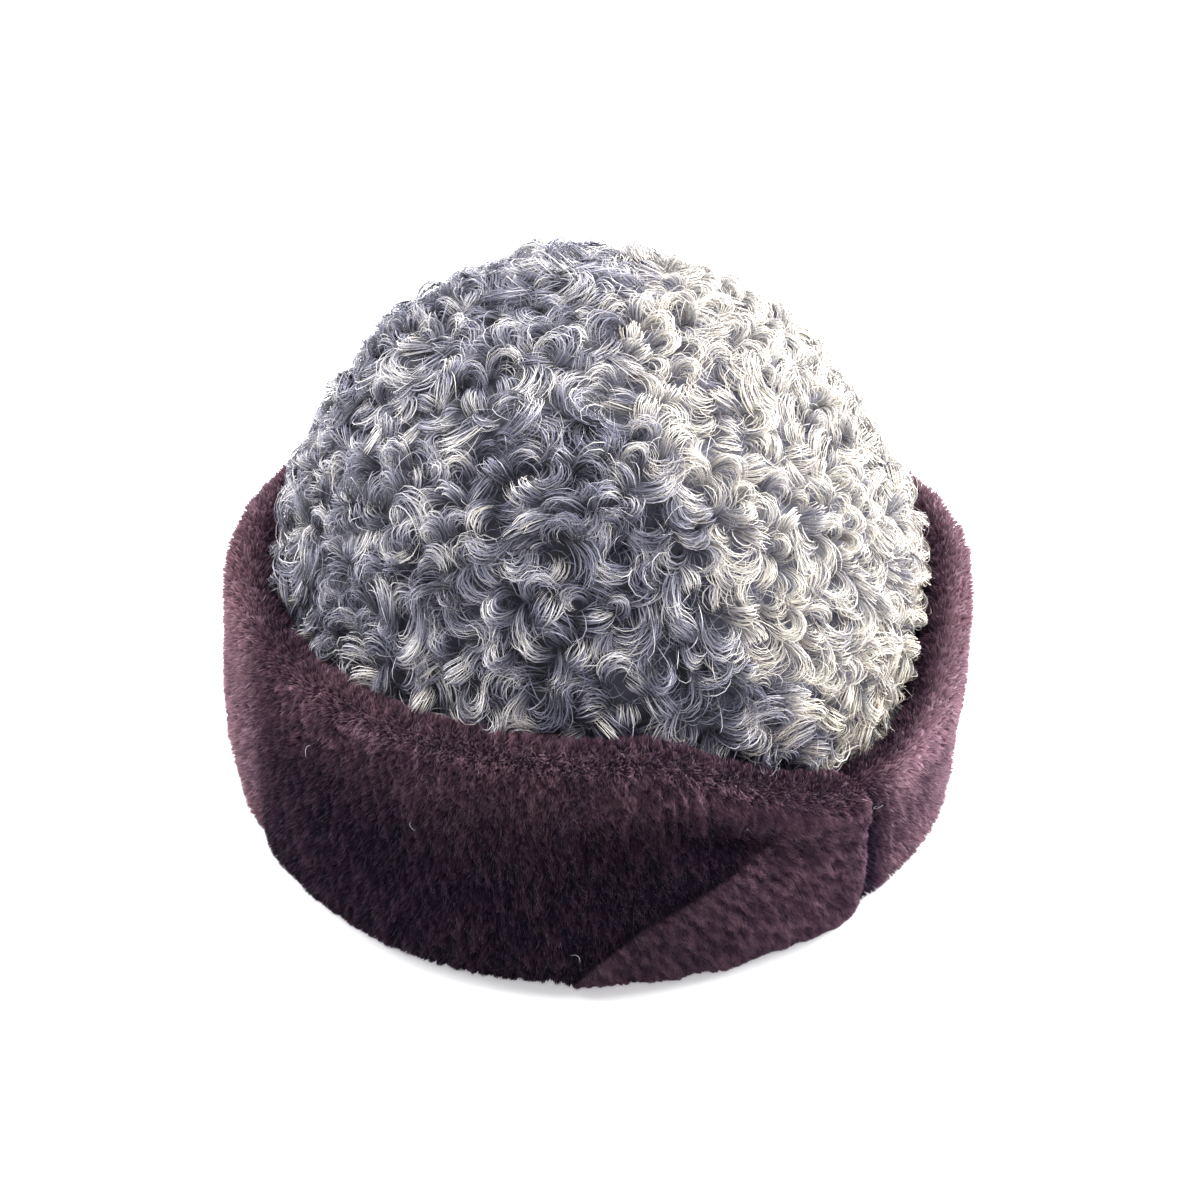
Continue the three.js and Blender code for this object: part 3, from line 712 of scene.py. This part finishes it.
def pile(panel, count, stage_low, stage_high, nap, tone_at):
    """Short hairs of sheared fur over a panel, one long triangle each, strewn evenly over its loop's length
    between two stages. A root lies a pile's depth under the surface and its tip on it, drawn along the nap
    and uphill on the tufts' noise. Slow lumps lift the pile and are painted paler where they rise, as
    painted light, and the tufts carry painted shade in the gaps between them. Over the rim the nap stands
    up. Returns points, faces, and each point's tone, place from root to tip and warmth."""
    angle = RNG.uniform(panel.start + 0.2, panel.end - 0.2, count)
    ladder = np.linspace(stage_low, stage_high, 200)
    steps = np.diff(panel.point(np.full(200, (panel.start + panel.end) / 2), ladder), axis=0)
    climb = np.concatenate([[0], np.cumsum(np.linalg.norm(steps, axis=1))])
    stage = np.interp(RNG.random(count) * climb[-1], climb, ladder)
    inset = panel.end_inset(angle)
    root = panel.point(angle, stage, PILE_DEPTH + inset)
    outer = panel.point(angle, stage, inset)
    turned = panel.point(angle + 0.05, stage, inset) - outer
    risen = panel.point(angle, np.minimum(stage + 0.017, 4.999), inset) - outer
    east, up = unit(turned), unit(risen)
    normal = unit(np.cross(turned, risen))
    lump = noise(outer, LUMP_SIZE, 23)
    shift = normal * (LUMP_HEIGHT * lump)[:, None]
    tuft = tufts(outer, angle, panel.slant)
    pull_east = tufts(outer, angle + 0.4, panel.slant) - tufts(outer, angle - 0.4, panel.slant)
    pull_up = tufts(outer + up, angle, panel.slant) - tufts(outer - up, angle, panel.slant)
    lean_east, lean_up = nap(angle, outer)
    drift = RNG.normal(0, 0.45, (2, count))
    tip = outer + shift + normal * (0.35 * tuft + RNG.normal(0, 0.22, count) - 0.1)[:, None]
    tip += east * (lean_east + 0.9 * pull_east + drift[0])[:, None]
    tip += up * ((1 - 0.85 * smooth(stage, 2.3, 3.1)) * lean_up + 0.9 * pull_up + drift[1])[:, None]
    tip[:, 2] = np.maximum(tip[:, 2], LOWEST_TIP)
    root = root + shift
    hair = unit(tip - root)
    facing = unit(normal + RNG.normal(0, 0.35, (count, 3)))
    across = unit(np.cross(hair, facing)) * (HAIR_FOOT * RNG.uniform(0.7, 1.3, count))[:, None]
    points = np.stack([root - across, root + across, tip], 1).reshape(-1, 3)
    faces = np.arange(3 * count).reshape(-1, 3)
    # The tufts' term is their own tone with painted shade in the gaps between them; the lumps' term is
    # painted light where they rise
    tone = tone_at(outer, angle, stage) + TUFT_TONE_AND_SHADE * tuft + LUMP_LIGHT * lump + RNG.normal(0, 0.08, count)
    warm = fur_warmth(outer) + RNG.normal(0, 0.10, count)
    along = np.tile([0.25, 0.25, 1.0], count)
    return points, faces, np.repeat(np.clip(tone, 0.02, 0.98), 3), along, np.repeat(np.clip(warm, 0, 1), 3)


def make_panel(name, panel, columns, hairs, stages, nap, tone_at, material):
    """A panel of the cuff as one piece: its skin under the pile, with its ends closed, and the hairs."""
    grid, stage = panel.grid(columns, STAGE_STEPS, PILE_DEPTH)
    points, faces = rings(grid, grid[0].mean(axis=0), grid[-1].mean(axis=0))
    stage = np.concatenate([[0], stage.ravel(), [0]])
    angle = np.degrees(np.arctan2(points[:, 1] - AXIS[1], points[:, 0] - AXIS[0]))
    angle = (angle - panel.start + 20) % 360 + panel.start - 20
    shade = np.clip(tone_at(points, angle, stage) - 0.16 + 0.10 * noise(points, 3, 31), 0.02, 0.98)
    hair_points, hair_faces, tone, along, warm = pile(panel, hairs, *stages, nap, tone_at)
    return add_mesh(
        name,
        np.concatenate([points, hair_points]),
        np.concatenate([faces, hair_faces + len(points)]),
        material,
        (
            np.concatenate([shade, tone]),
            np.concatenate([0 * shade + 0.45, along]),
            np.concatenate([np.clip(fur_warmth(points), 0, 1), warm]),
        ),
    )


def socket(tree, way, name, kind, default=None):
    """A named socket of a node group."""
    made = tree.interface.new_socket(name=name, in_out=way, socket_type=kind)
    if default is not None:
        made.default_value = default
    return made


def math_node(tree, operation, first, second=None):
    """A math node on one or two sockets or numbers."""
    node = tree.nodes.new("ShaderNodeMath")
    node.operation = operation
    for number, value in enumerate((first, second)):
        if isinstance(value, (int, float)):
            node.inputs[number].default_value = value
        elif value is not None:
            tree.links.new(value, node.inputs[number])
    return node.outputs[0]


def range_node(tree, value, **limits):
    """A node that maps a socket from one range to another. limits names its limits that aren't 0 and 1."""
    node = tree.nodes.new("ShaderNodeMapRange")
    for limit, number in limits.items():
        node.inputs[limit.replace("_", " ").title()].default_value = number
    tree.links.new(value, node.inputs[0])
    return node


def noise_node(tree, place, scale, detail):
    """A noise texture on a socket's coordinates."""
    node = tree.nodes.new("ShaderNodeTexNoise")
    node.inputs["Scale"].default_value = scale
    node.inputs["Detail"].default_value = detail
    tree.links.new(place, node.inputs["Vector"])
    return node.outputs["Fac"]


def mix_node(tree, share, first, second, blend="MIX"):
    """A colour mix of two sockets, by a socket's share or a number."""
    node = tree.nodes.new("ShaderNodeMix")
    node.data_type = "RGBA"
    node.blend_type = blend
    if isinstance(share, (int, float)):
        node.inputs["Factor"].default_value = share
    else:
        tree.links.new(share, node.inputs["Factor"])
    tree.links.new(first, node.inputs[6])
    tree.links.new(second, node.inputs[7])
    return node.outputs[2]


def hair_colour_group():
    """Colour of hairs from their map: dark to middle to light across, a warm tint by the band's number that
    is strongest on pale hairs, and a shade that lifts from root to tip within the band."""
    tree = bpy.data.node_groups.new("hair_colour", "ShaderNodeTree")
    socket(tree, "INPUT", "Dark", "NodeSocketColor", (0, 0, 0, 1))
    socket(tree, "INPUT", "Middle", "NodeSocketColor", (0.3, 0.3, 0.3, 1))
    socket(tree, "INPUT", "Light", "NodeSocketColor", (0.8, 0.8, 0.8, 1))
    socket(tree, "INPUT", "Warm Tint", "NodeSocketColor", (1, 0.9, 0.7, 1))
    socket(tree, "INPUT", "Root Shade", "NodeSocketFloat", 0.4)
    socket(tree, "OUTPUT", "Color", "NodeSocketColor")
    inputs = tree.nodes.new("NodeGroupInput")
    outputs = tree.nodes.new("NodeGroupOutput")
    place = tree.nodes.new("ShaderNodeUVMap")
    place.uv_map = "fur"
    parts = tree.nodes.new("ShaderNodeSeparateXYZ")
    tree.links.new(place.outputs[0], parts.inputs[0])
    tone = parts.outputs[0]
    bands = math_node(tree, "MULTIPLY", parts.outputs[1], float(BANDS))
    warm = math_node(tree, "DIVIDE", math_node(tree, "FLOOR", bands), float(BANDS - 1))
    along = math_node(tree, "FRACT", bands)
    lower = range_node(tree, tone, from_max=0.5)
    upper = range_node(tree, tone, from_min=0.5)
    colour = mix_node(tree, lower.outputs[0], inputs.outputs["Dark"], inputs.outputs["Middle"])
    colour = mix_node(tree, upper.outputs[0], colour, inputs.outputs["Light"])
    tinted = mix_node(tree, 1.0, colour, inputs.outputs["Warm Tint"], "MULTIPLY")
    paler = range_node(tree, tone, from_min=0.4, from_max=0.8, to_min=0.25)
    colour = mix_node(tree, math_node(tree, "MULTIPLY", warm, paler.outputs[0]), colour, tinted)
    shade = range_node(tree, along)
    shade.interpolation_type = "SMOOTHSTEP"
    tree.links.new(inputs.outputs["Root Shade"], shade.inputs["To Min"])
    grey = tree.nodes.new("ShaderNodeCombineColor")
    for channel in range(3):
        tree.links.new(shade.outputs[0], grey.inputs[channel])
    colour = mix_node(tree, 1.0, colour, grey.outputs[0], "MULTIPLY")
    tree.links.new(colour, outputs.inputs["Color"])
    return tree


def hair_material(name, group, dark, middle, light, warm, shader):
    """A finish of hairs: the shared hair colour on a Principled shader, with its plain values by name."""
    material = bpy.data.materials.new(name)
    material.use_nodes = True
    tree = material.node_tree
    surface = tree.nodes["Principled BSDF"]
    colour = tree.nodes.new("ShaderNodeGroup")
    colour.node_tree = group
    for socket_name, value in (("Dark", dark), ("Middle", middle), ("Light", light), ("Warm Tint", warm)):
        colour.inputs[socket_name].default_value = (*value, 1)
    colour.inputs["Root Shade"].default_value = ROOT_SHADE
    tree.links.new(colour.outputs["Color"], surface.inputs["Base Color"])
    for socket_name, value in shader.items():
        surface.inputs[socket_name].default_value = value
    return material


def suede_material():
    """The pelt's undyed flesh side: pale grey-beige in soft blotches, with a fine nap in its bump."""
    material = bpy.data.materials.new("suede")
    material.use_nodes = True
    tree = material.node_tree
    surface = tree.nodes["Principled BSDF"]
    place = tree.nodes.new("ShaderNodeTexCoord")
    blotch = noise_node(tree, place.outputs["Object"], 38, 5)
    nap = noise_node(tree, place.outputs["Object"], 900, 3)
    ramp = tree.nodes.new("ShaderNodeValToRGB")
    ramp.color_ramp.elements[0].position = 0.3
    ramp.color_ramp.elements[0].color = (0.40, 0.34, 0.28, 1)
    ramp.color_ramp.elements[1].position = 0.72
    ramp.color_ramp.elements[1].color = (0.62, 0.56, 0.48, 1)
    rough = range_node(tree, nap, to_min=0.8, to_max=0.98)
    bump = tree.nodes.new("ShaderNodeBump")
    bump.inputs["Strength"].default_value = 0.35
    bump.inputs["Distance"].default_value = 0.0006
    tree.links.new(blotch, ramp.inputs["Fac"])
    tree.links.new(ramp.outputs["Color"], surface.inputs["Base Color"])
    tree.links.new(rough.outputs["Result"], surface.inputs["Roughness"])
    tree.links.new(nap, bump.inputs["Height"])
    tree.links.new(bump.outputs["Normal"], surface.inputs["Normal"])
    return material


def make_skin(material):
    """The crown's leather: a smooth dome shell, open below."""
    points, faces = dome_shell(lambda direction: 0.0, -SKIN_WALL, HEM, *SKIN_GRID)
    return add_mesh("crown_leather", points, faces, material)


def fur_warmth(points):
    """The cuff fur's warmth: the same on every panel, with slow blotches."""
    return 0.45 + 0.30 * noise(points, 30, 61)


def near_slit(angle):
    """How near the slit a place on the front band is, from 0 to 1, where both its panels look alike."""
    return smooth(angle - SLIT_ANGLE, -29, -11)


def streaks(points, angle, slant, wide, long, seed):
    """Noise drawn out into streaks: the band unrolled to arc length and the climb up its outside and inwards
    over its rim, turned by slant and then squeezed to the streaks' width and length."""
    arc = np.radians(angle) * (CROWN_HALF.mean() + CUFF_THICKNESS)
    height = points[..., 2] - np.hypot(points[..., 0] - AXIS[0], points[..., 1] - AXIS[1])
    cosine, sine = math.cos(math.radians(slant)), math.sin(math.radians(slant))
    over, up = arc * cosine + height * sine, height * cosine - arc * sine
    return noise(np.stack([over / wide, up / long, 0 * over], -1), 1.0, seed)


def front_nap(angle, points):
    """The front panel's nap, as a lean east and up: down, a little to the right, with a slow wander."""
    return 0.25 + 0.35 * noise(points, 26, 41), -0.70 + 0.3 * noise(points, 26, 42)


def corner_nap(angle, points):
    """The corner panel's nap: square to its seam, down to the right, and like the front's at the slit."""
    share = near_slit(angle)
    east, up = front_nap(angle, points)
    down = -0.75 + 0.2 * noise(points, 20, 43)
    return 0.65 * (1 - share) + east * share, down * (1 - share) + up * share


def back_nap(angle, points):
    """The back panel's nap: down, with a slow wander."""
    return 0.35 * noise(points, 30, 44), -0.7 + 0.2 * noise(points, 30, 45)


def slit_end_tone(points, angle):
    """The front band's tone at the slit, with a painted highlight along its very edge."""
    return 0.49 + 0.04 * noise(points, 8, 56) + 0.08 * smooth(angle - SLIT_ANGLE, -5, -1)


def front_tone(points, angle, stage):
    """The front panel: nearly black plum, with painted shade low down, at the left, in the fold over the
    seam and inside, and painted light on the top roll, where the relief stands out and along the rim's crest
    towards the left, in slow blotches and upright streaks. Towards the left crease it nears a plain ramp
    from the foot up, which is painted shade at the foot."""
    z = points[..., 2]
    left = -points[..., 0]
    # Painted shade low down and at the left: the tone rises with height and falls towards the left
    tone = 0.07 + 0.39 * smooth(z, 36, 82) + 0.06 * noise(points, 24, 51) + 0.04 * noise(points, 9, 52)
    tone = tone + 0.07 * streaks(points, angle, 8, 2.2, 8, 57) - 0.05 * smooth(left, 50, 90)
    # Painted light where the relief stands out and painted shade in its dents
    tone = tone + RELIEF_SHADE * relief(angle, z / (CUFF_HEIGHT * cuff_size("rim", angle)))
    # Painted shade in the fold over the seam, painted light on the rim's crest and painted shade inside
    fold = np.exp(-(np.maximum(z - seam_height(angle), 0) / 11) ** 2) * smooth(angle - SLIT_ANGLE, -56, -46)
    crest = smooth(stage, 2.7, 3.2) * (1 - smooth(stage, 4.0, 4.4))
    tone = tone - 0.10 * fold + crest * (0.05 + 0.20 * smooth(left, 20, 85)) - 0.12 * smooth(stage, 4.0, 4.5)
    # Towards the left crease, a ramp that is painted shade at the foot
    crease = 1 - smooth(angle - CREASE_ANGLE, 1, 17)
    tone = tone + 0.6 * crease * (0.42 * smooth(z, 5, 45) - tone)
    share = near_slit(angle)
    return tone * (1 - share) + slit_end_tone(points, angle) * share


def corner_tone(points, angle, stage):
    """The corner panel: lighter than the front, more so along the seam and towards the slit, with streaks
    square to the seam."""
    away = np.maximum(seam_height(angle) - points[..., 2], 0)
    tone = 0.42 + 0.11 * smooth(points[..., 0], 25, 75) + 0.03 * noise(points, 16, 53)
    tone = tone + 0.08 * np.exp(-away / 9) + 0.07 * streaks(points, angle, 36, 1.5, 9, 58)
    share = near_slit(angle)
    return tone * (1 - share) + slit_end_tone(points, angle) * share


def back_tone(points, angle, stage):
    """The back panel: painted light outside at both sides, on the rim's crest at the right and along its
    ridge, painted shade inside and in the left crease, and the front band's painted shadow at the slit's
    edge."""
    x = points[..., 0] - AXIS[0]
    outside = 1 - smooth(stage, 3.1, 3.7)
    # Painted shade inside the band
    tone = 0.37 + 0.06 * noise(points, 26, 54) + 0.05 * noise(points, 9, 55) - 0.10 * (1 - outside)
    # Painted light on the outside at both sides
    rim_too = 1 - smooth(stage, 3.4, 4.1)
    tone = tone + outside * 0.42 * smooth(x, 70, 114) + rim_too * 0.44 * smooth(-x, 84, 114)
    # Painted highlight on the rim's crest at the right
    crest = smooth(stage, 2.7, 3.1) * (1 - smooth(stage, 3.5, 3.95))
    tone = tone + 0.30 * crest * smooth(x, 88, 110)
    # Painted shade in the left crease
    tone = tone - 0.16 * (1 - smooth(CREASE_ANGLE + 360 - angle, 0, 7))
    # Painted shadow of the front band's proud end at the slit
    tone = tone - 0.50 * (1 - smooth(angle - SLIT_ANGLE, 1.5, 7)) * (1 - smooth(stage, 2.9, 3.3))
    # Painted highlight along the ridge, and painted light on the upper outside towards the right
    ridge = smooth(stage, 2.75, 3.05) * (1 - smooth(stage, 3.15, 3.5)) * ridge_share(angle)
    return tone + 0.16 * ridge + 0.12 * smooth(stage, 2.6, 3.1) * outside * smooth(x, 40, 90)


def make_strays(panel, material):
    """A few stray pale hairs that lie on the front band in short arcs, and a loose loop of thread at the
    slit's top: most of an ellipse, leaning out from the surface."""
    t = np.linspace(0, 1, HAIR_STEPS)
    angle = RNG.uniform(panel.start + 6, SLIT_ANGLE - 12, STRAY_COUNT)[:, None]
    stage = RNG.uniform(2.1, 2.95, STRAY_COUNT)[:, None]
    heading = RNG.uniform(0, 2 * np.pi, (STRAY_COUNT, 1)) + RNG.normal(0, 0.9, (STRAY_COUNT, 1)) * t
    reach = RNG.uniform(*STRAY_LENGTH, (STRAY_COUNT, 1)) * t
    strays = panel.point(angle + reach * np.cos(heading) / 2, stage + reach * np.sin(heading) / 60, -0.5)
    turn = np.linspace(0.3, 5.6, HAIR_STEPS)
    anchor = panel.point(np.array(SLIT_ANGLE - 0.5), np.array(2.9), -0.4)
    east = np.array([-math.sin(math.radians(SLIT_ANGLE)), math.cos(math.radians(SLIT_ANGLE)), 0])
    loop = anchor + np.outer(1.2 + LOOP_WIDE * np.cos(turn), east)
    loop = loop + np.outer(LOOP_TALL * np.sin(turn), [0.5, -0.6, 0.6])
    paths = np.concatenate([strays, loop[None]])[:, None]
    outwards = unit(paths * [1, 1, 0])
    across = unit(np.cross(unit(np.gradient(paths, axis=2)), outwards))
    tone = 0.62 + 0 * paths[..., 0]
    return hair_piece("stray_hairs", paths, across, tone, tone[..., 0], STRAY_WIDTH, material)


def make_floor():
    """A plain pale floor."""
    bpy.ops.mesh.primitive_plane_add(size=FLOOR_SIZE)
    floor = bpy.context.object
    floor.name = "floor"
    material = bpy.data.materials.new("pale_floor")
    material.use_nodes = True
    surface = material.node_tree.nodes["Principled BSDF"]
    surface.inputs["Base Color"].default_value = (0.92, 0.92, 0.93, 1)
    surface.inputs["Roughness"].default_value = 0.9
    surface.inputs["Specular IOR Level"].default_value = 0.1
    surface.inputs["Emission Color"].default_value = (0.97, 0.97, 1, 1)
    surface.inputs["Emission Strength"].default_value = 0.40
    floor.data.materials.append(material)


def make_light(name, place, size, power):
    """A soft square lamp at a place, turned to the hat."""
    lamp = bpy.data.lights.new(name, "AREA")
    lamp.energy = power
    lamp.size = size
    holder = bpy.data.objects.new(name, lamp)
    holder.location = place
    holder.rotation_euler = (LAMP_AIM - Vector(place)).to_track_quat("-Z", "Y").to_euler()
    bpy.context.scene.collection.objects.link(holder)


def make_camera():
    """The photo's view: from the front and above, through a long lens."""
    elevation = math.radians(CAMERA_ELEVATION)
    camera = bpy.data.cameras.new("camera")
    camera.lens = CAMERA_LENS
    camera.sensor_width = 36
    camera.clip_start = 0.05
    holder = bpy.data.objects.new("camera", camera)
    away = Vector((0, -math.cos(elevation), math.sin(elevation)))
    holder.location = CAMERA_AIM + away * CAMERA_DISTANCE
    holder.rotation_euler = (-away).to_track_quat("-Z", "Y").to_euler()
    bpy.context.scene.collection.objects.link(holder)
    bpy.context.scene.camera = holder


def make_studio():
    """Plain soft studio light: a white room, a large lamp overhead and behind, and one at each side."""
    world = bpy.data.worlds.new("white_room")
    world.use_nodes = True
    world.node_tree.nodes["Background"].inputs["Color"].default_value = (1, 1, 1, 1)
    world.node_tree.nodes["Background"].inputs["Strength"].default_value = 0.55
    scene = bpy.context.scene
    scene.world = world
    scene.view_settings.view_transform = "Standard"
    make_light("overhead", (0.3, 0.45, 1.5), 1.4, 60)
    make_light("right", (1.2, 0.35, 0.55), 0.9, 44)
    make_light("left", (-1.2, 0.4, 0.6), 0.9, 32)


make_camera()
make_studio()
make_floor()

hair_colour = hair_colour_group()
combed = {"Roughness": 0.5, "Specular IOR Level": 0.35}
sheared = {"Roughness": 0.8, "Specular IOR Level": 0.08, "Sheen Weight": 0.38, "Sheen Roughness": 0.35}
fleece_hair = hair_material(
    "curly_fleece", hair_colour, (0.020, 0.022, 0.038), (0.232, 0.233, 0.332), (0.95, 0.93, 0.94),
    (1.0, 0.93, 0.77), combed,
)
cuff_fur = hair_material(
    "cuff_fur", hair_colour, (0.011, 0.006, 0.020), (0.113, 0.058, 0.089), (0.43, 0.28, 0.355),
    (1.0, 0.86, 0.74), {**sheared, "Sheen Tint": (0.90, 0.74, 0.88, 1)},
)
corner_fur = hair_material(
    "corner_fur", hair_colour, (0.012, 0.007, 0.020), (0.117, 0.063, 0.099), (0.43, 0.285, 0.365),
    (1.0, 0.86, 0.72), {**sheared, "Sheen Tint": (0.90, 0.74, 0.86, 1)},
)
suede = suede_material()

leather = make_skin(suede)
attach(leather, "root")
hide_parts("crown_skin")

for fleece_piece in make_fleece(fleece_hair):
    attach(fleece_piece, "root")
    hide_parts("crown_curls")

front = Panel(CREASE_ANGLE + PANEL_GAP, SLIT_ANGLE - PANEL_GAP, 1, (3.0, 6.0), 6)
corner = Panel(SLIT_ANGLE - CORNER_WIDE + PANEL_GAP, SLIT_ANGLE - PANEL_GAP, -1, (1.2, 6.0), 36)
back = Panel(SLIT_ANGLE + PANEL_GAP, CREASE_ANGLE + 360 - PANEL_GAP, 0, (5.0, 3.0), 0)
for panel_name, node, panel, detail, nap, tone_at, finish, finish_slot in (
    ("front_panel", "cuff_front", front, FRONT_DETAIL, front_nap, front_tone, cuff_fur, "cuff_fur"),
    ("corner_panel", "cuff_corner", corner, CORNER_DETAIL, corner_nap, corner_tone, corner_fur,
     "corner_fur"),
    ("back_panel", "cuff_back", back, BACK_DETAIL, back_nap, back_tone, cuff_fur, "cuff_fur"),
):
    made = make_panel(panel_name, panel, *detail, nap, tone_at, finish)
    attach(made, "root")
    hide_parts(node)

strays = make_strays(front, fleece_hair)
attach(strays, "root")
